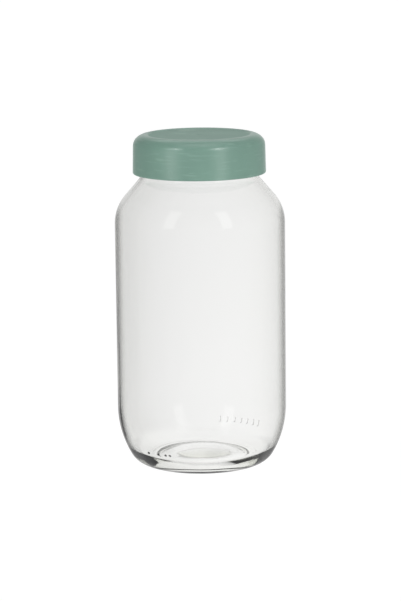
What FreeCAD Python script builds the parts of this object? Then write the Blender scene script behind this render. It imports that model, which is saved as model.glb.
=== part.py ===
"""One-litre clear glass jar with a screw-on moulded plastic cap.

Three separate pieces: the pressed-and-blown glass jar, the screw cap, and the foam sealing
liner that sits loose under the cap's top.  Millimetres, +Z up, origin at the centre of the
ring that the jar stands on.  Every piece is a solid of revolution about Z; the jar and the cap
also carry four-start thread segments that share one helix lead.
"""

import math
import os

import FreeCAD
import Part

# ---- driving dimensions, mm and degrees ------------------------------------------------

BODY_R = 50.0            # outer radius of the cylindrical body
WALL = 2.8               # glass wall of body, shoulder and neck

BEARING_R_OUT = 31.5     # flat ring that the jar stands on
BEARING_R_IN = 28.3
HEEL_TIGHT_R = 12.6      # lower arc of the heel
HEEL_WIDE_R = 56.2       # upper arc of the heel
HEEL_SPLIT = 30.1        # how far the wide arc turns

SHOULDER_START_Z = 143.6
SHOULDER_R = 24.7
SHOULDER_TURN = 40.8     # slope of the shoulder's cone from vertical
NECK_R = 34.4            # outer radius of the neck under its threads
NECK_FILLET_R = 5.0
RIM_Z = 192.6            # top of the glass
RIM_ROUND = 1.1

PUSH_TILT = 8.0          # slope of the push-up dome where it meets its wall
PUSH_WALL_TILT = 34.0    # slope of the short wall inside the bearing ring
PUSH_WALL_LENGTH = 0.8
PUSH_TOP_ROUND = 2.0
PUSH_FOOT_ROUND = 1.5

INNER_HEEL_WIDE_R = 53.4
INNER_HEEL_TIGHT_R = 14.0
INNER_HEEL_SPLIT = 25.0
INNER_FLOOR_Z = 4.6      # lowest point of the inside
INNER_FLOOR_RISE = 2.8   # how far the floor rises to its centre

BEAD_Z = 175.6           # transfer bead round the foot of the neck
BEAD_HALF = 1.1
BEAD_HEIGHT = 1.2

THREAD_STARTS = 4
THREAD_LEAD = 16.0       # rise per turn, shared by the jar and the cap
GLASS_THREAD_H = 1.8
GLASS_THREAD_HALF_ROOT = 1.35
GLASS_THREAD_HALF_CREST = 0.7
GLASS_THREAD_SPAN = 112.0
GLASS_THREAD_Z = 181.4   # middle of a glass thread where it begins
CAP_THREAD_H = 1.75
CAP_THREAD_HALF_ROOT = 1.05
CAP_THREAD_HALF_CREST = 0.45
CAP_THREAD_SPAN = 64.0
CAP_THREAD_DELAY = 22.0  # angle from a glass thread's start to the cap thread under it
THREAD_FADE = 13.0       # angle over which a thread runs out at each end
THREAD_STEP = 5.0        # angle between two sections of a thread
THREAD_BURY = 0.6        # depth of a thread's root inside its wall
THREAD_END_SINK = 0.12   # share of a thread's height that its tip sinks into the wall at each end
THREAD_CROWN = 0.25      # rise of a thread's round crest, as a share of the crest's half width

CODE_DOT_ANGLES = (-133.0, -124.2, -118.0, -114.5)
CODE_DOT_R = 0.9
CODE_MARK_FIRST, CODE_MARK_LAST, CODE_MARK_COUNT = 40.0, 76.0, 7
CODE_MARK_LENGTH = 2.6
CODE_DOT_TURN = 22.5     # where the dots sit on the wide heel arc, from its top
CODE_MARK_TURN = 20.5    # and the marks
CODE_PROUD = 0.4         # height of dots and marks over the glass

CAP_FOOT_Z = 172.9
CAP_FOOT_R = 39.0
CAP_DRAFT = 1.3
CAP_EDGE_ROUND = 0.9
CAP_TOP_Z = 195.9        # crest of the rim round the top
CAP_SHOULDER_LOW_R = 6.3
CAP_SHOULDER_HIGH_R = 8.0
CAP_SHOULDER_SPLIT = 45.0    # slope at which the lower shoulder arc gives way to the upper
CAP_RECESS_TILT = 30.0
CAP_RECESS_CREST_R = 1.5
CAP_RECESS_FOOT_R = 2.0
CAP_RECESS_WALL = 0.4
CAP_BORE_R = 36.6
CAP_INNER_ROUND = 0.8
CAP_MOUTH_CHAMFER = 0.4

LINER_T = 0.6            # thin foam, as pressed between the rim and the cap
LINER_R = 35.7
LINER_EDGE_ROUND = 0.2
LINER_GAP = 0.07         # running gap over the rim and under the cap's top
SNAP_BEAD_H = 1.35       # bead in the cap's bore that keeps the liner in
SNAP_BEAD_HALF = 0.55
SNAP_BEAD_GAP = 0.2

CAP_CEILING_Z = RIM_Z + LINER_GAP + LINER_T + LINER_GAP

UP = FreeCAD.Vector(0, 0, 1)
ORIGIN = FreeCAD.Vector(0, 0, 0)


# ---- outlines --------------------------------------------------------------------------

class Pen:
    """Draws an outline in the XZ plane: straight runs, and arcs tangent to what came before."""

    def __init__(self, r, z):
        self.r, self.z = r, z
        self.first = (r, z)
        self.heading = 0.0
        self.edges = []

    def point(self):
        return FreeCAD.Vector(self.r, 0, self.z)

    def to(self, r, z):
        start = self.point()
        self.heading = math.degrees(math.atan2(z - self.z, r - self.r))
        self.r, self.z = r, z
        self.edges.append(Part.makeLine(start, self.point()))

    def forward(self, length):
        angle = math.radians(self.heading)
        self.to(self.r + length * math.cos(angle), self.z + length * math.sin(angle))

    def turn(self, radius, degrees):
        """A tangent arc: positive degrees turn left, negative turn right."""
        side = math.copysign(1, degrees)
        angle = math.radians(self.heading)
        centre_r = self.r - side * radius * math.sin(angle)
        centre_z = self.z + side * radius * math.cos(angle)

        def on_arc(share):
            at = math.radians(self.heading + degrees * share)
            return FreeCAD.Vector(
                centre_r + side * radius * math.sin(at), 0,
                centre_z - side * radius * math.cos(at))

        start, middle, end = self.point(), on_arc(0.5), on_arc(1)
        self.edges.append(Part.Arc(start, middle, end).toShape())
        self.r, self.z = end.x, end.z
        self.heading += degrees

    def bump(self, half, height, outward):
        """A round-topped bead standing off a wall that runs up or down."""
        start = self.point()
        along = math.sin(math.radians(self.heading))
        middle = start + FreeCAD.Vector(outward * height, 0, half * along)
        end = start + FreeCAD.Vector(0, 0, 2 * half * along)
        self.edges.append(Part.Arc(start, middle, end).toShape())
        self.r, self.z = end.x, end.z

    def revolve(self):
        """Closes the outline and spins it round Z into a solid."""
        self.to(*self.first)
        return Part.Face(Part.Wire(self.edges)).revolve(ORIGIN, UP, 360)


def sin_d(degrees):
    return math.sin(math.radians(degrees))


def cos_d(degrees):
    return math.cos(math.radians(degrees))


# ---- threads ---------------------------------------------------------------------------

def thread_section(root_r, tip_r, bury_r, half_root, half_crest, angle, z):
    """One cross-section of a thread, as a closed wire in the plane through Z at this angle."""
    def at(r, height):
        return FreeCAD.Vector(r * cos_d(angle), r * sin_d(angle), z + height)

    bulge = THREAD_CROWN * half_crest * math.copysign(1, tip_r - bury_r)
    low, high = at(bury_r, -half_root), at(bury_r, half_root)
    tip_low, tip_high = at(tip_r - bulge, -half_crest), at(tip_r - bulge, half_crest)
    return Part.Wire([
        Part.makeLine(high, low),
        Part.makeLine(low, tip_low),
        Part.Arc(tip_low, at(tip_r, 0), tip_high).toShape(),
        Part.makeLine(tip_high, high),
    ])


def thread_height(done, span):
    """Share of the full height at this angle along a thread; below zero where it is buried."""
    near_end = min(done, span - done)
    if near_end >= THREAD_FADE:
        return 1.0
    ramp = 0.5 - 0.5 * cos_d(180 * near_end / THREAD_FADE)
    return ramp - THREAD_END_SINK * (1 - ramp)


def thread(root_r, height, half_root, half_crest, first_angle, first_z, span):
    """A helical thread segment; a negative height stands inwards off a bore."""
    side = math.copysign(1, height)
    count = round(span / THREAD_STEP)
    sections = []
    for i in range(count + 1):
        done = span * i / count
        tip_r = root_r + height * thread_height(done, span)
        sections.append(thread_section(
            root_r, tip_r, root_r - side * THREAD_BURY, half_root, half_crest,
            first_angle + done, first_z + THREAD_LEAD * done / 360))
    return Part.makeLoft(sections, True, False)


def thread_ring(root_r, height, half_root, half_crest, first_angle, first_z, span):
    """All the starts of one thread, evenly spaced round the axis."""
    return [
        thread(root_r, height, half_root, half_crest,
               first_angle + 360 * k / THREAD_STARTS, first_z, span)
        for k in range(THREAD_STARTS)
    ]


# ---- glass jar -------------------------------------------------------------------------

def heel_top_z():
    return (HEEL_WIDE_R * sin_d(HEEL_SPLIT)
            + HEEL_TIGHT_R * (1 - sin_d(HEEL_SPLIT)))


def shoulder_cone_length():
    """Straight run of the shoulder that lands its fillet on the neck."""
    inwards = BODY_R - NECK_R - (SHOULDER_R + NECK_FILLET_R) * (1 - cos_d(SHOULDER_TURN))
    return inwards / sin_d(SHOULDER_TURN)


def draw_push_up():
    """The underside, from the centre of the dome out to the bearing ring."""
    wall_run = (
        PUSH_TOP_ROUND * (sin_d(PUSH_WALL_TILT) - sin_d(PUSH_TILT))
        + PUSH_WALL_LENGTH * cos_d(PUSH_WALL_TILT)
        + PUSH_FOOT_ROUND * sin_d(PUSH_WALL_TILT))
    wall_drop = (
        PUSH_TOP_ROUND * (cos_d(PUSH_TILT) - cos_d(PUSH_WALL_TILT))
        + PUSH_WALL_LENGTH * sin_d(PUSH_WALL_TILT)
        + PUSH_FOOT_ROUND * (1 - cos_d(PUSH_WALL_TILT)))
    dome_r = (BEARING_R_IN - wall_run) / sin_d(PUSH_TILT)
    pen = Pen(0, wall_drop + dome_r * (1 - cos_d(PUSH_TILT)))
    pen.turn(dome_r, -PUSH_TILT)
    pen.turn(PUSH_TOP_ROUND, PUSH_TILT - PUSH_WALL_TILT)
    pen.forward(PUSH_WALL_LENGTH)
    pen.turn(PUSH_FOOT_ROUND, PUSH_WALL_TILT)
    return pen


def glass_outline():
    """Underside, heel, body, shoulder and neck going up outside, then back down inside."""
    pen = draw_push_up()
    pen.to(BEARING_R_OUT, 0)
    pen.turn(HEEL_TIGHT_R, 90 - HEEL_SPLIT)
    pen.turn(HEEL_WIDE_R, HEEL_SPLIT)
    pen.to(BODY_R, SHOULDER_START_Z)
    pen.turn(SHOULDER_R, SHOULDER_TURN)
    pen.forward(shoulder_cone_length())
    pen.turn(NECK_FILLET_R, -SHOULDER_TURN)
    pen.to(NECK_R, BEAD_Z - BEAD_HALF)
    pen.bump(BEAD_HALF, BEAD_HEIGHT, 1)
    pen.to(NECK_R, RIM_Z - RIM_ROUND)
    pen.turn(RIM_ROUND, 90)

    pen.to(NECK_R - WALL + RIM_ROUND, RIM_Z)
    pen.turn(RIM_ROUND, 90)
    neck_bottom_z = (SHOULDER_START_Z + (SHOULDER_R + NECK_FILLET_R) * sin_d(SHOULDER_TURN)
                     + shoulder_cone_length() * cos_d(SHOULDER_TURN))
    pen.to(NECK_R - WALL, neck_bottom_z)
    pen.turn(NECK_FILLET_R + WALL, SHOULDER_TURN)
    pen.forward(shoulder_cone_length())
    pen.turn(SHOULDER_R - WALL, -SHOULDER_TURN)
    heel_drop = (INNER_HEEL_WIDE_R * sin_d(INNER_HEEL_SPLIT)
                 + INNER_HEEL_TIGHT_R * (1 - sin_d(INNER_HEEL_SPLIT)))
    pen.to(BODY_R - WALL, INNER_FLOOR_Z + heel_drop)
    pen.turn(INNER_HEEL_WIDE_R, -INNER_HEEL_SPLIT)
    pen.turn(INNER_HEEL_TIGHT_R, INNER_HEEL_SPLIT - 90)
    floor_tilt = 2 * math.degrees(math.atan(INNER_FLOOR_RISE / pen.r))
    floor_r = pen.r / (2 * sin_d(floor_tilt))
    pen.turn(floor_r, -floor_tilt)
    pen.turn(floor_r, floor_tilt)
    return pen


def heel_place(angle, turn):
    """Point on the wide heel arc, its outward normal and its upward tangent, at this angle round Z."""
    around = FreeCAD.Vector(cos_d(angle), sin_d(angle), 0)
    arc_r = BODY_R - HEEL_WIDE_R * (1 - cos_d(turn))
    arc_z = heel_top_z() - HEEL_WIDE_R * sin_d(turn)
    normal = around * cos_d(turn) - UP * sin_d(turn)
    tangent = around * sin_d(turn) + UP * cos_d(turn)
    return around * arc_r + UP * arc_z, normal, tangent


def code_dot(angle):
    """A round mould-code dot on the heel."""
    place, normal, _ = heel_place(angle, CODE_DOT_TURN)
    return Part.makeSphere(CODE_DOT_R, place - normal * (CODE_DOT_R - CODE_PROUD))


def code_mark(angle):
    """A plain upright mould mark on the heel: a round-ended bar half sunk in the glass."""
    place, normal, tangent = heel_place(angle, CODE_MARK_TURN)
    centre = place - normal * (CODE_DOT_R - CODE_PROUD)
    foot = centre - tangent * (CODE_MARK_LENGTH / 2)
    bar = Part.makeCylinder(CODE_DOT_R, CODE_MARK_LENGTH, foot, tangent)
    ends = [Part.makeSphere(CODE_DOT_R, foot + tangent * (CODE_MARK_LENGTH * k)) for k in (0, 1)]
    return bar.fuse(ends).removeSplitter()


def make_glass_jar():
    threads = thread_ring(NECK_R, GLASS_THREAD_H, GLASS_THREAD_HALF_ROOT,
                          GLASS_THREAD_HALF_CREST, 0, GLASS_THREAD_Z, GLASS_THREAD_SPAN)
    dots = [code_dot(angle) for angle in CODE_DOT_ANGLES]
    step = (CODE_MARK_LAST - CODE_MARK_FIRST) / (CODE_MARK_COUNT - 1)
    marks = [code_mark(CODE_MARK_FIRST + step * k) for k in range(CODE_MARK_COUNT)]
    return glass_outline().revolve().fuse(threads + dots + marks)


# ---- screw cap -------------------------------------------------------------------------

def cap_outline():
    """Outside from the foot up and over the rim to the centre, then the inside back down."""
    pen = Pen(CAP_BORE_R + CAP_MOUTH_CHAMFER, CAP_FOOT_Z)
    pen.to(CAP_FOOT_R - CAP_EDGE_ROUND, CAP_FOOT_Z)
    pen.turn(CAP_EDGE_ROUND, 90 + CAP_DRAFT)
    low_rise = CAP_SHOULDER_LOW_R * (sin_d(CAP_SHOULDER_SPLIT) - sin_d(CAP_DRAFT))
    high_rise = CAP_SHOULDER_HIGH_R * (1 - sin_d(CAP_SHOULDER_SPLIT))
    pen.forward((CAP_TOP_Z - low_rise - high_rise - pen.z) / cos_d(CAP_DRAFT))
    pen.turn(CAP_SHOULDER_LOW_R, CAP_SHOULDER_SPLIT - CAP_DRAFT)
    pen.turn(CAP_SHOULDER_HIGH_R, 90 - CAP_SHOULDER_SPLIT)
    pen.turn(CAP_RECESS_CREST_R, CAP_RECESS_TILT)
    pen.forward(CAP_RECESS_WALL)
    pen.turn(CAP_RECESS_FOOT_R, -CAP_RECESS_TILT)
    pen.to(0, pen.z)

    pen.to(0, CAP_CEILING_Z)
    pen.to(CAP_BORE_R - CAP_INNER_ROUND, CAP_CEILING_Z)
    pen.turn(CAP_INNER_ROUND, -90)
    pen.to(CAP_BORE_R, RIM_Z + LINER_GAP - SNAP_BEAD_GAP)
    pen.bump(SNAP_BEAD_HALF, SNAP_BEAD_H, -1)
    pen.to(CAP_BORE_R, CAP_FOOT_Z + CAP_MOUTH_CHAMFER)
    return pen


def make_screw_cap():
    # A cap thread runs midway between two turns of the glass thread.
    first_z = (GLASS_THREAD_Z - THREAD_LEAD / THREAD_STARTS / 2
               + THREAD_LEAD * CAP_THREAD_DELAY / 360)
    threads = thread_ring(CAP_BORE_R, -CAP_THREAD_H, CAP_THREAD_HALF_ROOT,
                          CAP_THREAD_HALF_CREST, CAP_THREAD_DELAY, first_z, CAP_THREAD_SPAN)
    return cap_outline().revolve().fuse(threads)


# ---- liner -----------------------------------------------------------------------------

def make_cap_liner():
    pen = Pen(0, RIM_Z + LINER_GAP)
    pen.to(LINER_R - LINER_EDGE_ROUND, pen.z)
    pen.turn(LINER_EDGE_ROUND, 90)
    pen.forward(LINER_T - 2 * LINER_EDGE_ROUND)
    pen.turn(LINER_EDGE_ROUND, 90)
    pen.to(0, pen.z)
    return pen.revolve()


# ---- build -----------------------------------------------------------------------------

def main():
    os.makedirs("parts", exist_ok=True)
    pieces = {
        "glass_jar": make_glass_jar(),
        "screw_cap": make_screw_cap(),
        "cap_liner": make_cap_liner(),
    }
    for name, shape in pieces.items():
        shape.exportStep(f"parts/{name}.step")
        box = shape.optimalBoundingBox(False, False)
        print(name, "solids", len(shape.Solids), "valid", shape.isValid(),
              "volume cm3", round(shape.Volume / 1000, 2),
              "z", round(box.ZMin, 3), round(box.ZMax, 3), "r", round(box.XMax, 3))


main()
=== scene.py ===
import math

import bpy
from mathutils import Matrix, Vector


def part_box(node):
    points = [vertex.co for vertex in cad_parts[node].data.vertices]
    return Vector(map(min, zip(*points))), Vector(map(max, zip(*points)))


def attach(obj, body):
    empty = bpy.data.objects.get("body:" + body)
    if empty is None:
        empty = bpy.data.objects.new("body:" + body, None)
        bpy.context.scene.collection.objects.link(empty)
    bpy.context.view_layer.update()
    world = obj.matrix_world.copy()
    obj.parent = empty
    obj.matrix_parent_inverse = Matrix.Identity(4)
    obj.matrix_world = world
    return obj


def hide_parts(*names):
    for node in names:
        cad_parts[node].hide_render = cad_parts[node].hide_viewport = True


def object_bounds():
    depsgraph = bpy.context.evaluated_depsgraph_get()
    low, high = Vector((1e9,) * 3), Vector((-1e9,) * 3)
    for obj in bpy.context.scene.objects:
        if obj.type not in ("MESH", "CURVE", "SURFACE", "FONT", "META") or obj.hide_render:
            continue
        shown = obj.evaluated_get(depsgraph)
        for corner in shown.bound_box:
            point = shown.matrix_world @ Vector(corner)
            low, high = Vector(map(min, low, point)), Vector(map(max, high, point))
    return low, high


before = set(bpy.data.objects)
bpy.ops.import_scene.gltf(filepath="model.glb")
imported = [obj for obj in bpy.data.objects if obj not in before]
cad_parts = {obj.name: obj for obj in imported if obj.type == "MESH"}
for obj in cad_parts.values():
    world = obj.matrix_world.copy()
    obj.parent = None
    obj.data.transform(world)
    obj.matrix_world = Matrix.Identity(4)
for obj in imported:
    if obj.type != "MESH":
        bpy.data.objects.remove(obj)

CAD_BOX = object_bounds()
MM = 0.001


# ---- Camera -----------------------------------------------------------------------------
# A long lens a metre and a half away, a little above the cap, tipped down at the middle of the
# jar.  It is rolled by a hair, so that the jar leans to one side by half a degree.

CAMERA_DISTANCE = 1495.7 * MM
CAMERA_PITCH = math.radians(10.33)
CAMERA_ROLL = math.radians(-0.649)
AIM = Vector((-0.18 * MM, 0, 96.9 * MM))
SENSOR_MM, LENS_MM = 36, 151.78

bpy.ops.object.select_all(action="DESELECT")
bpy.ops.object.camera_add()
camera = bpy.context.object
camera.name = "camera"
camera.data.sensor_width = SENSOR_MM
camera.data.lens = LENS_MM
back_off = Vector((0, -math.cos(CAMERA_PITCH), math.sin(CAMERA_PITCH))) * CAMERA_DISTANCE
camera.matrix_world = (
    Matrix.Translation(AIM + back_off)
    @ Matrix.Rotation(math.pi / 2 - CAMERA_PITCH, 4, "X")
    @ Matrix.Rotation(CAMERA_ROLL, 4, "Z"))
bpy.context.scene.camera = camera


# ---- Studio -----------------------------------------------------------------------------
# A seamless white table in a dim room with a pale wall behind it.  Two weak softboxes in front
# put faint patches on the glass, and stronger lamps that light the cap alone model its satin.

def colour(hex_code):
    """A hex sRGB colour as the linear RGBA that Blender works in."""
    def linear(pair):
        value = int(pair, 16) / 255
        return value / 12.92 if value <= 0.04045 else ((value + 0.055) / 1.055) ** 2.4
    return (linear(hex_code[0:2]), linear(hex_code[2:4]), linear(hex_code[4:6]), 1.0)


def new_material(name):
    """A material with no nodes yet."""
    material = bpy.data.materials.new(name)
    material.use_nodes = True
    material.node_tree.nodes.clear()
    return material


def add_node(owner, kind, settings=None, *in_order, **by_name):
    """Adds a node to a material or world; each input is a value, or a socket to link from."""
    tree = owner.node_tree
    made = tree.nodes.new("ShaderNode" + kind)
    for name, value in (settings or {}).items():
        setattr(made, name, value)
    inputs = list(zip(made.inputs, in_order))
    inputs += [(made.inputs[name.replace("_", " ")], value) for name, value in by_name.items()]
    for socket, value in inputs:
        if isinstance(value, bpy.types.NodeSocket):
            tree.links.new(value, socket)
        else:
            socket.default_value = value
    return made


# The white of the table has no shadow on it, and the glass neither mirrors it nor shows it.
FLOOR_SIZE = 24
FLOOR_GAP = 0.05 * MM
TABLE_GLOW = 0.95

bpy.ops.mesh.primitive_plane_add(size=FLOOR_SIZE, location=(0, 0, -FLOOR_GAP))
floor = bpy.context.object
floor.name = "floor"
white_table = new_material("matt_white_table")
table_paint = add_node(white_table, "BsdfDiffuse", Color=colour("7A7A7A"))
table_glow = add_node(white_table, "Emission", Color=colour("FFFFFF"), Strength=TABLE_GLOW)
table_sum = add_node(white_table, "AddShader", None, table_paint.outputs[0], table_glow.outputs[0])
add_node(white_table, "OutputMaterial", Surface=table_sum.outputs[0])
floor.data.materials.append(white_table)
floor.visible_transmission = False
floor.visible_glossy = False
floor.visible_shadow = False

# Reflections see the dim room, which is darker to the left, so that the cap and the glass have
# soft dark edges; the wall far behind and the table gleam in it.  Through the glass the pale
# wall shows, which falls off to the left and upwards, and the eye sees the room as plain white.
ROOM_LEFT, ROOM_RIGHT = 0.22, 0.38
BACK_GLEAM, TABLE_GLEAM = 0.55, 0.5
WALL_LEFT, WALL_RIGHT, WALL_TOP, WALL_ELSEWHERE = 0.82, 0.98, 0.92, 0.93

room = bpy.data.worlds.new("dim_room_with_pale_wall")
room.use_nodes = True
room.node_tree.nodes.clear()
room_direction = add_node(room, "TexCoord")
towards = add_node(room, "SeparateXYZ", Vector=room_direction.outputs["Generated"])
side_light = add_node(room, "MapRange", Value=towards.outputs["X"], From_Min=-1.0, From_Max=1.0,
                      To_Min=ROOM_LEFT, To_Max=ROOM_RIGHT)
back_gleam = add_node(room, "MapRange", {"interpolation_type": "SMOOTHSTEP"},
                      Value=towards.outputs["Y"], From_Min=0.8, From_Max=1.0,
                      To_Min=0.0, To_Max=BACK_GLEAM)
table_gleam = add_node(room, "MapRange", {"interpolation_type": "SMOOTHSTEP"},
                       Value=towards.outputs["Z"], From_Min=-0.3, From_Max=-0.6,
                       To_Min=0.0, To_Max=TABLE_GLEAM)
gleams = add_node(room, "Math", {"operation": "ADD"},
                  back_gleam.outputs["Result"], table_gleam.outputs["Result"])
room_light = add_node(room, "Math", {"operation": "ADD"},
                      side_light.outputs["Result"], gleams.outputs["Value"])
wall_left = add_node(room, "MapRange", Value=towards.outputs["Y"], From_Min=0.7, From_Max=0.95,
                     To_Min=WALL_ELSEWHERE, To_Max=WALL_LEFT)
wall_across = add_node(room, "MapRange", {"interpolation_type": "SMOOTHSTEP"},
                       Value=towards.outputs["X"], From_Min=-0.14, From_Max=0.06,
                       To_Min=wall_left.outputs["Result"], To_Max=WALL_RIGHT)
wall_up = add_node(room, "MapRange", {"interpolation_type": "SMOOTHSTEP"},
                   Value=towards.outputs["Z"], From_Min=-0.26, From_Max=-0.08,
                   To_Min=1.0, To_Max=WALL_TOP)
wall_light = add_node(room, "Math", {"operation": "MULTIPLY"},
                      wall_across.outputs["Result"], wall_up.outputs["Result"])
ray = add_node(room, "LightPath")
through_glass = add_node(room, "MapRange", Value=ray.outputs["Is Transmission Ray"],
                         To_Min=room_light.outputs["Value"],
                         To_Max=wall_light.outputs["Value"])
room_strength = add_node(room, "MapRange", Value=ray.outputs["Is Camera Ray"],
                         To_Min=through_glass.outputs["Result"], To_Max=1.0)
room_glow = add_node(room, "Background", Color=colour("FFFFFF"),
                     Strength=room_strength.outputs["Result"])
add_node(room, "OutputWorld", Surface=room_glow.outputs["Background"])
bpy.context.scene.world = room
bpy.context.scene.view_settings.view_transform = "Standard"


def softbox(name, azimuth, elevation, distance, width, height, radiance):
    """A rectangular area light aimed at the jar's neck; azimuth 0 is the camera's."""
    a, e = math.radians(azimuth), math.radians(elevation)
    away = Vector((math.sin(a) * math.cos(e), -math.cos(a) * math.cos(e), math.sin(e)))
    bpy.ops.object.light_add(type="AREA", location=Vector((0, 0, CAD_BOX[1].z)) + away * distance)
    lamp = bpy.context.object
    lamp.name = name
    lamp.data.shape = "RECTANGLE"
    lamp.data.size, lamp.data.size_y = width, height
    lamp.data.energy = radiance * math.pi * width * height
    lamp.rotation_mode = "QUATERNION"
    lamp.rotation_quaternion = away.to_track_quat("Z", "Y")
    return lamp


softbox("softbox_left", -43, 27, 1.5, 0.42, 1.3, 0.55)
softbox("softbox_right", 38, 27, 1.5, 0.42, 1.3, 0.6)

# The strips draw the two upright bands on the cap's wall and the small boxes the two glints on
# its shoulder; the overhead and back boxes light its top.
cap_lamps = [softbox("cap_strip_left", -49, -8, 1.4, 0.50, 1.1, 2.0),
             softbox("cap_strip_right", 38, -8, 1.4, 0.42, 1.1, 2.0),
             softbox("cap_box_left", -44, 28, 1.4, 0.30, 0.26, 13.0),
             softbox("cap_box_right", 37, 28, 1.4, 0.40, 0.26, 16.0),
             softbox("cap_overhead_box", 0, 78, 1.4, 1.2, 0.9, 1.4),
             softbox("cap_back_box", 180, 52, 1.4, 1.2, 0.8, 1.2)]

# Light crosses thick glass many times before it comes out, so the paths are kept long.  Light
# caught inside the heel is let go after a few mirrorings, which leaves the heel's corners dark.
LONGEST_PATH, MOST_MIRRORINGS = 40, 7
bpy.context.scene.cycles.max_bounces = LONGEST_PATH
bpy.context.scene.cycles.transmission_bounces = LONGEST_PATH
bpy.context.scene.cycles.glossy_bounces = MOST_MIRRORINGS


# ---- Glass jar --------------------------------------------------------------------------
# Pressed and blown clear soda-lime glass, fire-polished, in one piece with its four-start neck
# thread.  The parting line of the mould runs up both sides, and the foot ring is knurled.

JAR_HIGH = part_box("glass_jar")[1]
BODY_R = JAR_HIGH.x / MM
RIM_Z = JAR_HIGH.z / MM
WALL = 2.8
BEARING_R_OUT, BEARING_R_IN = 31.5, 28.3
HEEL_TIGHT_R, HEEL_WIDE_R, HEEL_SPLIT = 12.6, 56.2, 30.1
SHOULDER_START_Z, SHOULDER_R, SHOULDER_TURN = 143.6, 24.7, 40.8
NECK_R, NECK_FILLET_R = 34.4, 5.0
RIM_ROUND = 1.1
PUSH_TILT, PUSH_WALL_TILT, PUSH_WALL_LENGTH = 8.0, 34.0, 0.8
PUSH_TOP_ROUND, PUSH_FOOT_ROUND = 2.0, 1.5
INNER_HEEL_WIDE_R, INNER_HEEL_TIGHT_R, INNER_HEEL_SPLIT = 53.4, 14.0, 25.0
INNER_FLOOR_Z, INNER_FLOOR_RISE = 4.6, 2.8
BEAD_Z, BEAD_HALF, BEAD_HEIGHT = 175.6, 1.1, 1.2
THREAD_STARTS, THREAD_LEAD, THREAD_FADE = 4, 16.0, 13.0
JAR_COLUMNS = 256
NECK_ROW = 0.36
WELD_WITHIN = 0.001


class Outline:
    """Half the section of a round piece, drawn in edit mode as runs and tangent arcs, then spun."""

    def __init__(self, name, r, z):
        bpy.ops.object.select_all(action="DESELECT")
        bpy.ops.mesh.primitive_plane_add(size=MM)
        self.piece = bpy.context.object
        self.piece.name = self.piece.data.name = name
        bpy.ops.object.mode_set(mode="EDIT")
        bpy.ops.mesh.merge(type="CENTER")
        bpy.ops.transform.translate(value=(r * MM, 0, z * MM))
        self.r, self.z, self.heading = r, z, 0.0
        self.start = (r, z)

    def to(self, r, z, steps=1):
        self.heading = math.degrees(math.atan2(z - self.z, r - self.r))
        step = Vector((r - self.r, 0, z - self.z)) * MM / steps
        for _ in range(steps):
            bpy.ops.mesh.extrude_region_move(TRANSFORM_OT_translate={"value": step})
        self.r, self.z = r, z

    def forward(self, length, steps=1):
        angle = math.radians(self.heading)
        self.to(self.r + length * math.cos(angle), self.z + length * math.sin(angle), steps)

    def turn(self, radius, degrees, steps):
        """A tangent arc: positive degrees turn left, negative turn right."""
        side = math.copysign(1, degrees)
        angle = math.radians(self.heading)
        centre_r = self.r - side * radius * math.sin(angle)
        centre_z = self.z + side * radius * math.cos(angle)
        bpy.ops.mesh.spin(steps=steps, angle=math.radians(degrees), axis=(0, 1, 0),
                          center=(centre_r * MM, 0, centre_z * MM))
        self.heading += degrees
        angle = math.radians(self.heading)
        self.r = centre_r + side * radius * math.sin(angle)
        self.z = centre_z - side * radius * math.cos(angle)

    def bead(self, half, height, outward, steps):
        """A round bead on a wall that runs up or down, leaving the wall and meeting it at an edge."""
        along = math.copysign(1, math.sin(math.radians(self.heading)))
        radius = (half ** 2 + height ** 2) / (2 * height)
        half_angle = math.degrees(2 * math.atan2(height, half))
        self.heading = 90 * along - outward * along * half_angle
        self.turn(radius, 2 * half_angle * outward * along, steps)
        self.heading = 90 * along

    def spin(self, columns):
        """Closes the outline and turns it round Z into a skin whose faces point outwards."""
        self.to(*self.start)
        bpy.ops.mesh.select_all(action="SELECT")
        bpy.ops.mesh.spin(steps=columns, angle=2 * math.pi, axis=(0, 0, 1), center=(0, 0, 0),
                          use_auto_merge=True)
        bpy.ops.mesh.select_all(action="SELECT")
        bpy.ops.mesh.remove_doubles(threshold=WELD_WITHIN * MM)
        bpy.ops.mesh.normals_make_consistent(inside=False)
        bpy.ops.object.mode_set(mode="OBJECT")
        return self.piece


def sin_d(degrees):
    return math.sin(math.radians(degrees))


def cos_d(degrees):
    return math.cos(math.radians(degrees))


def push_up_outline():
    """The jar's underside, from the centre of its dome out to the ring that it stands on."""
    wall_run = (PUSH_TOP_ROUND * (sin_d(PUSH_WALL_TILT) - sin_d(PUSH_TILT))
                + PUSH_WALL_LENGTH * cos_d(PUSH_WALL_TILT)
                + PUSH_FOOT_ROUND * sin_d(PUSH_WALL_TILT))
    wall_drop = (PUSH_TOP_ROUND * (cos_d(PUSH_TILT) - cos_d(PUSH_WALL_TILT))
                 + PUSH_WALL_LENGTH * sin_d(PUSH_WALL_TILT)
                 + PUSH_FOOT_ROUND * (1 - cos_d(PUSH_WALL_TILT)))
    dome_r = (BEARING_R_IN - wall_run) / sin_d(PUSH_TILT)
    outline = Outline("glass_jar_body", 0, wall_drop + dome_r * (1 - cos_d(PUSH_TILT)))
    outline.turn(dome_r, -PUSH_TILT, 14)
    outline.turn(PUSH_TOP_ROUND, PUSH_TILT - PUSH_WALL_TILT, 6)
    outline.forward(PUSH_WALL_LENGTH, 2)
    outline.turn(PUSH_FOOT_ROUND, PUSH_WALL_TILT, 5)
    return outline


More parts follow.
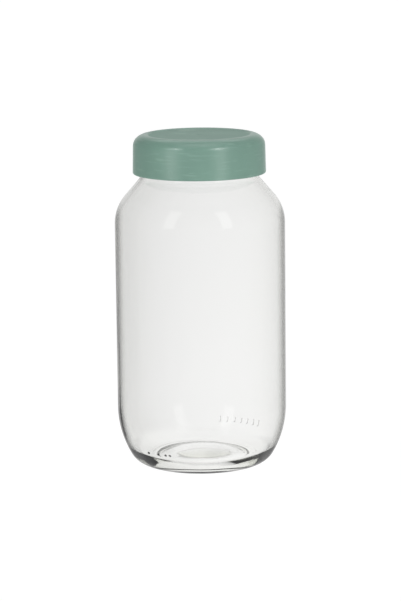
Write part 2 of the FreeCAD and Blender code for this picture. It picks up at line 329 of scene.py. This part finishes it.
cone_length = ((BODY_R - NECK_R - (SHOULDER_R + NECK_FILLET_R) * (1 - cos_d(SHOULDER_TURN)))
               / sin_d(SHOULDER_TURN))
jar_outline = push_up_outline()
jar_outline.to(BEARING_R_OUT, 0, 4)
jar_outline.turn(HEEL_TIGHT_R, 90 - HEEL_SPLIT, 20)
jar_outline.turn(HEEL_WIDE_R, HEEL_SPLIT, 22)
jar_outline.to(BODY_R, SHOULDER_START_Z, 24)
jar_outline.turn(SHOULDER_R, SHOULDER_TURN, 18)
jar_outline.forward(cone_length, 3)
jar_outline.turn(NECK_FILLET_R, -SHOULDER_TURN, 8)
jar_outline.to(NECK_R, BEAD_Z - BEAD_HALF, 1)
jar_outline.bead(BEAD_HALF, BEAD_HEIGHT, 1, 8)
neck_rows = round((RIM_Z - RIM_ROUND - jar_outline.z) / NECK_ROW)
jar_outline.to(NECK_R, RIM_Z - RIM_ROUND, neck_rows)
jar_outline.turn(RIM_ROUND, 90, 6)
jar_outline.to(NECK_R - WALL + RIM_ROUND, RIM_Z)
jar_outline.turn(RIM_ROUND, 90, 6)
neck_bottom_z = (SHOULDER_START_Z + (SHOULDER_R + NECK_FILLET_R) * sin_d(SHOULDER_TURN)
                 + cone_length * cos_d(SHOULDER_TURN))
jar_outline.to(NECK_R - WALL, neck_bottom_z, 8)
jar_outline.turn(NECK_FILLET_R + WALL, SHOULDER_TURN, 8)
jar_outline.forward(cone_length, 3)
jar_outline.turn(SHOULDER_R - WALL, -SHOULDER_TURN, 18)
inner_heel_rise = (INNER_HEEL_WIDE_R * sin_d(INNER_HEEL_SPLIT)
                   + INNER_HEEL_TIGHT_R * (1 - sin_d(INNER_HEEL_SPLIT)))
jar_outline.to(BODY_R - WALL, INNER_FLOOR_Z + inner_heel_rise, 24)
jar_outline.turn(INNER_HEEL_WIDE_R, -INNER_HEEL_SPLIT, 20)
jar_outline.turn(INNER_HEEL_TIGHT_R, INNER_HEEL_SPLIT - 90, 20)
floor_tilt = 2 * math.degrees(math.atan(INNER_FLOOR_RISE / jar_outline.r))
floor_r = jar_outline.r / (2 * sin_d(floor_tilt))
jar_outline.turn(floor_r, -floor_tilt, 8)
jar_outline.turn(floor_r, floor_tilt, 8)
glass_jar = jar_outline.spin(JAR_COLUMNS)


def raise_skin(piece, group_name, height, share_at):
    """Raises the skin along its normals, by a height times each point's share of it."""
    group = piece.vertex_groups.new(name=group_name)
    for point in piece.data.vertices:
        share = share_at(point.co / MM)
        if share > 0:
            group.add([point.index], min(share, 1.0), "REPLACE")
    lift = piece.modifiers.new(group_name, "DISPLACE")
    lift.strength = height * MM
    lift.mid_level = 0
    lift.vertex_group = group_name
    bpy.context.view_layer.objects.active = piece
    bpy.ops.object.modifier_apply(modifier=group_name)


def ease(share):
    """A smooth step from 0 to 1."""
    share = max(0.0, min(1.0, share))
    return share * share * (3 - 2 * share)


def thread_share(place, first_angle, first_z, span, half_root, half_crest):
    """How much of the full thread stands at this place on the wall, over all its starts."""
    angle = math.degrees(math.atan2(place.y, place.x))
    most = 0.0
    for start in range(THREAD_STARTS):
        along = (angle - first_angle - 360 / THREAD_STARTS * start) % 360
        if along > span:
            continue
        off = abs(place.z - first_z - THREAD_LEAD * along / 360)
        across = ease((half_root - off) / (half_root - half_crest))
        ends = ease(min(along, span - along) / THREAD_FADE)
        most = max(most, across * ends)
    return most


GLASS_THREAD_H, GLASS_THREAD_SPAN, GLASS_THREAD_Z = 1.8, 112.0, 181.4
GLASS_THREAD_HALF_ROOT, GLASS_THREAD_HALF_CREST = 1.75, 0.35
SEAM_HEIGHT, SEAM_COLUMN, SEAM_WIDTH = 0.05, 6, 0.1
KNURL_DEPTH = 0.12
ON_SURFACE = 0.01


def radius_of(place):
    return math.hypot(place.x, place.y)


def glass_thread(place):
    """How far the thread stands out here, on the neck's outside above the transfer bead."""
    if radius_of(place) < NECK_R - ON_SURFACE or place.z < BEAD_Z + BEAD_HALF + ON_SURFACE:
        return 0.0
    return thread_share(place, 0, GLASS_THREAD_Z, GLASS_THREAD_SPAN,
                        GLASS_THREAD_HALF_ROOT, GLASS_THREAD_HALF_CREST)


def mould_seam(place):
    """The two lines where the halves of the blow mould met, from the heel up to the shoulder."""
    seam_angle = 360 / JAR_COLUMNS * SEAM_COLUMN
    off_line = abs(math.degrees(math.atan2(place.y, place.x)) % 180 - seam_angle)
    on_outside = radius_of(place) > BODY_R - WALL / 2 or place.z > SHOULDER_START_Z
    if off_line > SEAM_WIDTH or not on_outside or place.z > BEAD_Z - 2 * BEAD_HALF:
        return 0.0
    return ease((place.z - HEEL_TIGHT_R) / HEEL_TIGHT_R)


def knurl(place):
    """Every other column of the ring that the jar stands on is sunk, as the mould cut it."""
    column = round(math.degrees(math.atan2(place.y, place.x)) / 360 * JAR_COLUMNS)
    on_ring = place.z < ON_SURFACE and BEARING_R_IN < radius_of(place) < BEARING_R_OUT - ON_SURFACE
    return 1.0 if on_ring and column % 2 == 0 else 0.0


# The bubble of a blown jar is never quite in the middle.  At the foot this one sits to the
# right, which makes the glass thicker in the heel's left corner.
BUBBLE_OFF, BUBBLE_OFF_BELOW, BUBBLE_OFF_FULLY = 0.5, 45.0, 15.0
NEARLY_LEVEL, MOSTLY_OUT = -0.001, 0.5


def facing_out(point):
    """How squarely a point's normal faces away from the jar's axis, times the point's radius."""
    return point.normal.x * point.co.x + point.normal.y * point.co.y


def is_inside(point):
    """Whether a point is on the jar's inner skin, which faces the axis or up."""
    return point.normal.z > NEARLY_LEVEL and facing_out(point) < MOSTLY_OUT * radius_of(point.co)


bubble_points = [point for point in glass_jar.data.vertices if is_inside(point)]
bubble_shares = [ease((BUBBLE_OFF_BELOW - point.co.z / MM) / (BUBBLE_OFF_BELOW - BUBBLE_OFF_FULLY))
                 for point in bubble_points]
for point, share in zip(bubble_points, bubble_shares):
    point.co.x += BUBBLE_OFF * MM * share

raise_skin(glass_jar, "thread", GLASS_THREAD_H, glass_thread)
raise_skin(glass_jar, "mould_seam", SEAM_HEIGHT, mould_seam)
raise_skin(glass_jar, "knurl", -KNURL_DEPTH, knurl)

# Four dots stand on the front of the heel and a row of short bars on its back.
CODE_DOT_ANGLES = (-133.0, -124.2, -118.0, -114.5)
CODE_DOT_R, CODE_DOT_PROUD, CODE_MARK_R, CODE_MARK_PROUD = 0.75, 0.75, 0.9, 0.3
CODE_MARK_FIRST, CODE_MARK_STEP, CODE_MARK_COUNT, CODE_MARK_LENGTH = 40.0, 6.0, 7, 2.6
CODE_DOT_TURN, CODE_MARK_TURN = 22.5, 20.5


def mould_mark(angle, turn, round_r, proud, length):
    """A round-ended mark that stands proud of the heel's upper arc, to be joined to the jar."""
    heel_top = HEEL_WIDE_R * sin_d(HEEL_SPLIT) + HEEL_TIGHT_R * (1 - sin_d(HEEL_SPLIT))
    sunk_r = BODY_R - HEEL_WIDE_R * (1 - cos_d(turn)) - (round_r - proud) * cos_d(turn)
    sunk_z = heel_top - HEEL_WIDE_R * sin_d(turn) + (round_r - proud) * sin_d(turn)
    bpy.ops.object.select_all(action="DESELECT")
    bpy.ops.mesh.primitive_uv_sphere_add(segments=20, ring_count=12, radius=round_r * MM)
    mark = bpy.context.object
    for point in mark.data.vertices:
        if abs(point.co.z) > ON_SURFACE * MM:
            point.co.z += math.copysign(length / 2 * MM, point.co.z)
    place = (Matrix.Rotation(math.radians(angle), 4, "Z")
             @ Matrix.Translation(Vector((sunk_r, 0, sunk_z)) * MM)
             @ Matrix.Rotation(math.radians(turn), 4, "Y"))
    mark.data.transform(place)
    return mark


marks = [mould_mark(angle, CODE_DOT_TURN, CODE_DOT_R, CODE_DOT_PROUD, 0)
         for angle in CODE_DOT_ANGLES]
marks += [mould_mark(CODE_MARK_FIRST + CODE_MARK_STEP * k, CODE_MARK_TURN,
                     CODE_MARK_R, CODE_MARK_PROUD, CODE_MARK_LENGTH)
          for k in range(CODE_MARK_COUNT)]
bpy.ops.object.select_all(action="DESELECT")
for mark in marks:
    mark.select_set(True)
bpy.context.view_layer.objects.active = marks[0]
bpy.ops.object.join()

# The weld leaves an empty material slot behind, which is cleared before the glass goes on.
weld = glass_jar.modifiers.new("mould_marks", "BOOLEAN")
weld.operation = "UNION"
weld.solver = "MANIFOLD"
weld.object = marks[0]
bpy.context.view_layer.objects.active = glass_jar
bpy.ops.object.modifier_apply(modifier=weld.name)
bpy.data.objects.remove(marks[0])
glass_jar.data.materials.clear()


def smooth(piece, sharpest):
    """Shades a piece smooth, apart from edges that turn by more than this many degrees."""
    bpy.ops.object.select_all(action="DESELECT")
    piece.select_set(True)
    bpy.context.view_layer.objects.active = piece
    bpy.ops.object.shade_smooth_by_angle(angle=math.radians(sharpest))


smooth(glass_jar, 35)

# Fire-polished glass is clear and sharp, with only the slow swell that the mould leaves on it.
# The ramp is painted shade: it darkens the outside where the eye meets it nearly edge-on, which
# gives the jar its grey outline, and where the glass is thick it is a little green.
GLASS_IOR, GLASS_GREEN_PER_M = 1.52, 10.0
SWELL_MM, SWELL_HEIGHT_MM, SWELL_UPRIGHT = 14, 0.12, 0.3
EDGE_PAINTED_SHADE = ((0.0, "FFFFFF"), (0.15, "FDFDFD"), (0.31, "FAFAF9"), (0.46, "F3F3F2"),
             (0.565, "EEEEED"), (0.61, "DDDDDB"), (0.66, "BFBFBD"), (0.72, "90908E"),
             (0.8, "5D5D5B"), (1.0, "50504E"))

# Only the outside takes that painted shade, and the shoulder takes less of it than the straight wall.
SHOULDER_PALER, PALER_FROM_Z, PALER_OVER = 0.28, SHOULDER_START_Z + 4, 12
painted_edge_shade_share = glass_jar.data.attributes.new("painted_edge_shade_share", "FLOAT", "POINT")
for point in glass_jar.data.vertices:
    outside = facing_out(point) > 0 and radius_of(point.co / MM) > BEARING_R_OUT
    paler = SHOULDER_PALER * ease((point.co.z / MM - PALER_FROM_Z) / PALER_OVER)
    painted_edge_shade_share.data[point.index].value = 1.0 - paler if outside else 0.0

clear_glass = new_material("fire_polished_soda_lime_glass")
glass_place = add_node(clear_glass, "TexCoord")
glass_upright = add_node(clear_glass, "Mapping", Vector=glass_place.outputs["Object"],
                         Scale=(1, 1, SWELL_UPRIGHT))
glass_swell = add_node(clear_glass, "TexNoise", Vector=glass_upright.outputs["Vector"],
                       Scale=1 / (SWELL_MM * MM), Detail=1.0)
glass_edge_shade_share = add_node(clear_glass, "Attribute", {"attribute_name": "painted_edge_shade_share"})
glass_edge = add_node(clear_glass, "LayerWeight", Blend=0.5)
outer_edge = add_node(clear_glass, "Math", {"operation": "MULTIPLY"},
                      glass_edge.outputs["Facing"], glass_edge_shade_share.outputs["Fac"])
# Painted shade: the glass's colour turns grey towards its outline, where the eye meets it edge-on.
glass_painted_edge_shade = add_node(clear_glass, "ValToRGB", Fac=outer_edge.outputs["Value"])
edge_shade_stops = glass_painted_edge_shade.color_ramp.elements
while len(edge_shade_stops) < len(EDGE_PAINTED_SHADE):
    edge_shade_stops.new(0.5)
for stop, (position, code) in zip(edge_shade_stops, EDGE_PAINTED_SHADE):
    stop.position, stop.color = position, colour(code)
glass_bump = add_node(clear_glass, "Bump", Height=glass_swell.outputs["Fac"],
                      Strength=1.0, Distance=SWELL_HEIGHT_MM * MM)
glass_shader = add_node(clear_glass, "BsdfPrincipled", Base_Color=glass_painted_edge_shade.outputs["Color"],
                        Roughness=0.0, IOR=GLASS_IOR, Transmission_Weight=1.0,
                        Normal=glass_bump.outputs["Normal"])
glass_depth = add_node(clear_glass, "VolumeAbsorption", Color=colour("CFD2B8"),
                       Density=GLASS_GREEN_PER_M)
add_node(clear_glass, "OutputMaterial", Surface=glass_shader.outputs["BSDF"],
         Volume=glass_depth.outputs["Volume"])
glass_jar.data.materials.append(clear_glass)
glass_jar.visible_shadow = False

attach(glass_jar, "jar")
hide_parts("glass_jar")


# ---- Cap liner --------------------------------------------------------------------------
# A disc of thin white closed-cell polyethylene foam, loose under the top of the cap.  The rim
# of the jar has pressed a shallow ring into its underside.

LINER_LOW, LINER_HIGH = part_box("cap_liner")
LINER_R, LINER_Z, LINER_TOP_Z = LINER_HIGH.x / MM, LINER_LOW.z / MM, LINER_HIGH.z / MM
LINER_EDGE_ROUND = 0.2
RIM_PRINT_DEPTH, RIM_PRINT_ROUND = 0.12, 0.5
LINER_COLUMNS = 128

liner_outline = Outline("cap_liner_disc", 0, LINER_Z)
liner_outline.to(NECK_R - WALL - RIM_PRINT_ROUND, LINER_Z, 10)
liner_outline.to(NECK_R - WALL + RIM_PRINT_ROUND, LINER_Z + RIM_PRINT_DEPTH, 2)
liner_outline.to(NECK_R - RIM_PRINT_ROUND, LINER_Z + RIM_PRINT_DEPTH, 2)
liner_outline.to(NECK_R + RIM_PRINT_ROUND, LINER_Z, 2)
liner_outline.to(LINER_R - LINER_EDGE_ROUND, LINER_Z)
liner_outline.turn(LINER_EDGE_ROUND, 90, 3)
liner_outline.to(LINER_R, LINER_TOP_Z - LINER_EDGE_ROUND)
liner_outline.turn(LINER_EDGE_ROUND, 90, 3)
liner_outline.to(0, LINER_TOP_Z, 10)
cap_liner = liner_outline.spin(LINER_COLUMNS)
smooth(cap_liner, 40)

# Closed-cell foam is dull and chalky, and its skin shows the tops of the bubbles under it. Shade
# is painted into the seams between them, which the bump sinks, so each bubble is paler in the middle.
FOAM_CELL_MM, FOAM_CELL_HEIGHT_MM = 0.7, 0.06
foam = new_material("closed_cell_polyethylene_foam")
foam_place = add_node(foam, "TexCoord")
foam_cells = add_node(foam, "TexVoronoi", Vector=foam_place.outputs["Object"],
                      Scale=1 / (FOAM_CELL_MM * MM))
# Painted shade: the colour darkens towards the seams between the bubbles.
foam_painted_seam_shade = add_node(foam, "ValToRGB", Fac=foam_cells.outputs["Distance"])
foam_painted_seam_shade.color_ramp.elements[0].color = colour("F1F2EE")
foam_painted_seam_shade.color_ramp.elements[1].color = colour("D9DBD4")
foam_bump = add_node(foam, "Bump", {"invert": True}, Height=foam_cells.outputs["Distance"],
                     Strength=1.0, Distance=FOAM_CELL_HEIGHT_MM * MM)
foam_shader = add_node(foam, "BsdfPrincipled", Base_Color=foam_painted_seam_shade.outputs["Color"],
                       Roughness=0.7, IOR=1.45, Normal=foam_bump.outputs["Normal"])
add_node(foam, "OutputMaterial", Surface=foam_shader.outputs["BSDF"])
cap_liner.data.materials.append(foam)

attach(cap_liner, "liner")
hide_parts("cap_liner")


# ---- Screw cap --------------------------------------------------------------------------
# Injection-moulded sage-green polypropylene with a satin skin and a shallow dished top, screwed
# on the jar's neck.  Its four short threads and the bead under the liner are moulded inside.

CAP_LOW, CAP_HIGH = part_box("screw_cap")
CAP_FOOT_R, CAP_FOOT_Z, CAP_TOP_Z = CAP_HIGH.x / MM, CAP_LOW.z / MM, CAP_HIGH.z / MM
CAP_DRAFT, CAP_EDGE_ROUND = 1.3, 0.9
CAP_SHOULDER_LOW_R, CAP_SHOULDER_HIGH_R, CAP_SHOULDER_SPLIT = 6.3, 8.0, 45.0
CAP_RECESS_TILT, CAP_RECESS_CREST_R, CAP_RECESS_FOOT_R, CAP_RECESS_WALL = 30.0, 1.5, 2.0, 0.4
LINER_PLAY = 0.07
CAP_CEILING_Z = LINER_TOP_Z + LINER_PLAY
CAP_BORE_R, CAP_INNER_ROUND, CAP_MOUTH_CHAMFER = 36.6, 0.8, 0.4
SNAP_BEAD_HALF, SNAP_BEAD_H, SNAP_BEAD_Z = 0.55, 1.35, 192.47
GATE_R, GATE_GROOVE_R, GATE_STUB_R, GATE_STUB_TOP_R, GATE_DEPTH = 1.6, 1.28, 0.48, 0.32, 0.15
CAP_COLUMNS = 240
CAP_ROW = 0.36

cap_outline = Outline("screw_cap_shell", CAP_BORE_R + CAP_MOUTH_CHAMFER, CAP_FOOT_Z)
cap_outline.to(CAP_FOOT_R - CAP_EDGE_ROUND, CAP_FOOT_Z, 2)
cap_outline.turn(CAP_EDGE_ROUND, 90 + CAP_DRAFT, 8)
low_rise = CAP_SHOULDER_LOW_R * (sin_d(CAP_SHOULDER_SPLIT) - sin_d(CAP_DRAFT))
high_rise = CAP_SHOULDER_HIGH_R * (1 - sin_d(CAP_SHOULDER_SPLIT))
cap_outline.forward((CAP_TOP_Z - low_rise - high_rise - cap_outline.z) / cos_d(CAP_DRAFT), 12)
cap_outline.turn(CAP_SHOULDER_LOW_R, CAP_SHOULDER_SPLIT - CAP_DRAFT, 12)
cap_outline.turn(CAP_SHOULDER_HIGH_R, 90 - CAP_SHOULDER_SPLIT, 12)
cap_outline.turn(CAP_RECESS_CREST_R, CAP_RECESS_TILT, 5)
cap_outline.forward(CAP_RECESS_WALL)
cap_outline.turn(CAP_RECESS_FOOT_R, -CAP_RECESS_TILT, 5)
cap_outline.to(GATE_R, cap_outline.z, 24)
cap_outline.to(GATE_GROOVE_R, cap_outline.z - GATE_DEPTH)
cap_outline.to(GATE_STUB_R, cap_outline.z, 2)
cap_outline.to(GATE_STUB_TOP_R, cap_outline.z + GATE_DEPTH)
cap_outline.to(0, cap_outline.z)
cap_outline.to(0, CAP_CEILING_Z)
cap_outline.to(CAP_BORE_R - CAP_INNER_ROUND, CAP_CEILING_Z, 12)
cap_outline.turn(CAP_INNER_ROUND, -90, 5)
cap_outline.to(CAP_BORE_R, SNAP_BEAD_Z)
cap_outline.bead(SNAP_BEAD_HALF, SNAP_BEAD_H, -1, 8)
bore_rows = round((cap_outline.z - CAP_FOOT_Z - CAP_MOUTH_CHAMFER) / CAP_ROW)
cap_outline.to(CAP_BORE_R, CAP_FOOT_Z + CAP_MOUTH_CHAMFER, bore_rows)
screw_cap = cap_outline.spin(CAP_COLUMNS)

CAP_THREAD_H, CAP_THREAD_SPAN, CAP_THREAD_DELAY, CAP_THREAD_CLEAR = 1.75, 64.0, 22.0, 1.0
CAP_THREAD_HALF_ROOT, CAP_THREAD_HALF_CREST = 1.05, 0.45
CAP_THREAD_Z = (GLASS_THREAD_Z - THREAD_LEAD / THREAD_STARTS / 2
                + THREAD_LEAD * CAP_THREAD_DELAY / 360)


def cap_thread(place):
    """How far the thread stands out here, on the cap's bore below the liner's bead."""
    on_bore = abs(radius_of(place) - CAP_BORE_R) < ON_SURFACE
    lowest, highest = CAP_FOOT_Z + CAP_THREAD_CLEAR, SNAP_BEAD_Z - 3 * SNAP_BEAD_HALF
    if not on_bore or not lowest < place.z < highest:
        return 0.0
    return thread_share(place, CAP_THREAD_DELAY, CAP_THREAD_Z, CAP_THREAD_SPAN,
                        CAP_THREAD_HALF_ROOT, CAP_THREAD_HALF_CREST)


raise_skin(screw_cap, "cap_thread", CAP_THREAD_H, cap_thread)
smooth(screw_cap, 40)

# Polypropylene from a spark-eroded mould: a satin skin, matter on the panel of the top, with
# a colour that flowed a little unevenly, and pale level streaks of painted highlight round the wall.
# The real grain, about 0.1 mm, is too fine to show, so it is drawn coarser.
GRAIN_MM, GRAIN_HEIGHT_MM = 0.6, 0.012
CLOUD_MM = 18
SHEEN_STREAK_MM, SHEEN_STREAK_STRETCH, SHEEN_STREAK_SHARE = 12, 9, 0.2
PANEL_R, PANEL_BLEND = 29.0, 1.0
PANEL_ROUGHNESS, WALL_ROUGHNESS, PLASTIC_IOR = 0.55, 0.29, 1.49
satin_plastic = new_material("satin_polypropylene")
cap_place = add_node(satin_plastic, "TexCoord")
cap_cloud = add_node(satin_plastic, "TexNoise", Vector=cap_place.outputs["Object"],
                     Scale=1 / (CLOUD_MM * MM), Detail=3.0)
cap_colour = add_node(satin_plastic, "ValToRGB", Fac=cap_cloud.outputs["Fac"])
cap_colour.color_ramp.elements[0].position = 0.3
cap_colour.color_ramp.elements[0].color = colour("6C8B7F")
cap_colour.color_ramp.elements[1].position = 0.7
cap_colour.color_ramp.elements[1].color = colour("719184")
cap_level_stretch = add_node(satin_plastic, "Mapping", Vector=cap_place.outputs["Object"],
                      Scale=(1, 1, SHEEN_STREAK_STRETCH))
cap_streaks = add_node(satin_plastic, "TexNoise", Vector=cap_level_stretch.outputs["Vector"],
                       Scale=1 / (SHEEN_STREAK_MM * MM), Detail=4.0)
# Painted highlight: pale level streaks mixed into the wall's colour, standing in for streaks in its
# sheen.
cap_painted_sheen = add_node(satin_plastic, "MapRange", {"interpolation_type": "SMOOTHSTEP"},
                      Value=cap_streaks.outputs["Fac"], From_Min=0.54, From_Max=0.72,
                      To_Min=0.0, To_Max=SHEEN_STREAK_SHARE)
cap_skin = add_node(satin_plastic, "MixRGB", None, cap_painted_sheen.outputs["Result"],
                    cap_colour.outputs["Color"], colour("9CB8AC"))
cap_flat = add_node(satin_plastic, "Mapping", Vector=cap_place.outputs["Object"], Scale=(1, 1, 0))
cap_off_axis = add_node(satin_plastic, "VectorMath", {"operation": "LENGTH"},
                        cap_flat.outputs["Vector"])
cap_gloss = add_node(satin_plastic, "MapRange", Value=cap_off_axis.outputs["Value"],
                     From_Min=PANEL_R * MM, From_Max=(PANEL_R + PANEL_BLEND) * MM,
                     To_Min=PANEL_ROUGHNESS, To_Max=WALL_ROUGHNESS)
cap_grain = add_node(satin_plastic, "TexNoise", Vector=cap_place.outputs["Object"],
                     Scale=1 / (GRAIN_MM * MM), Detail=2.0)
cap_bump = add_node(satin_plastic, "Bump", Height=cap_grain.outputs["Fac"],
                    Strength=1.0, Distance=GRAIN_HEIGHT_MM * MM)
plastic_shader = add_node(satin_plastic, "BsdfPrincipled", Base_Color=cap_skin.outputs["Color"],
                          Roughness=cap_gloss.outputs["Result"], IOR=PLASTIC_IOR,
                          Normal=cap_bump.outputs["Normal"])
add_node(satin_plastic, "OutputMaterial", Surface=plastic_shader.outputs["BSDF"])
screw_cap.data.materials.append(satin_plastic)

# The cap's own lamps light nothing else.
only_cap = bpy.data.collections.new("lit_by_cap_lamps")
only_cap.objects.link(screw_cap)
for lamp in cap_lamps:
    lamp.light_linking.receiver_collection = only_cap

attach(screw_cap, "cap")
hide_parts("screw_cap")
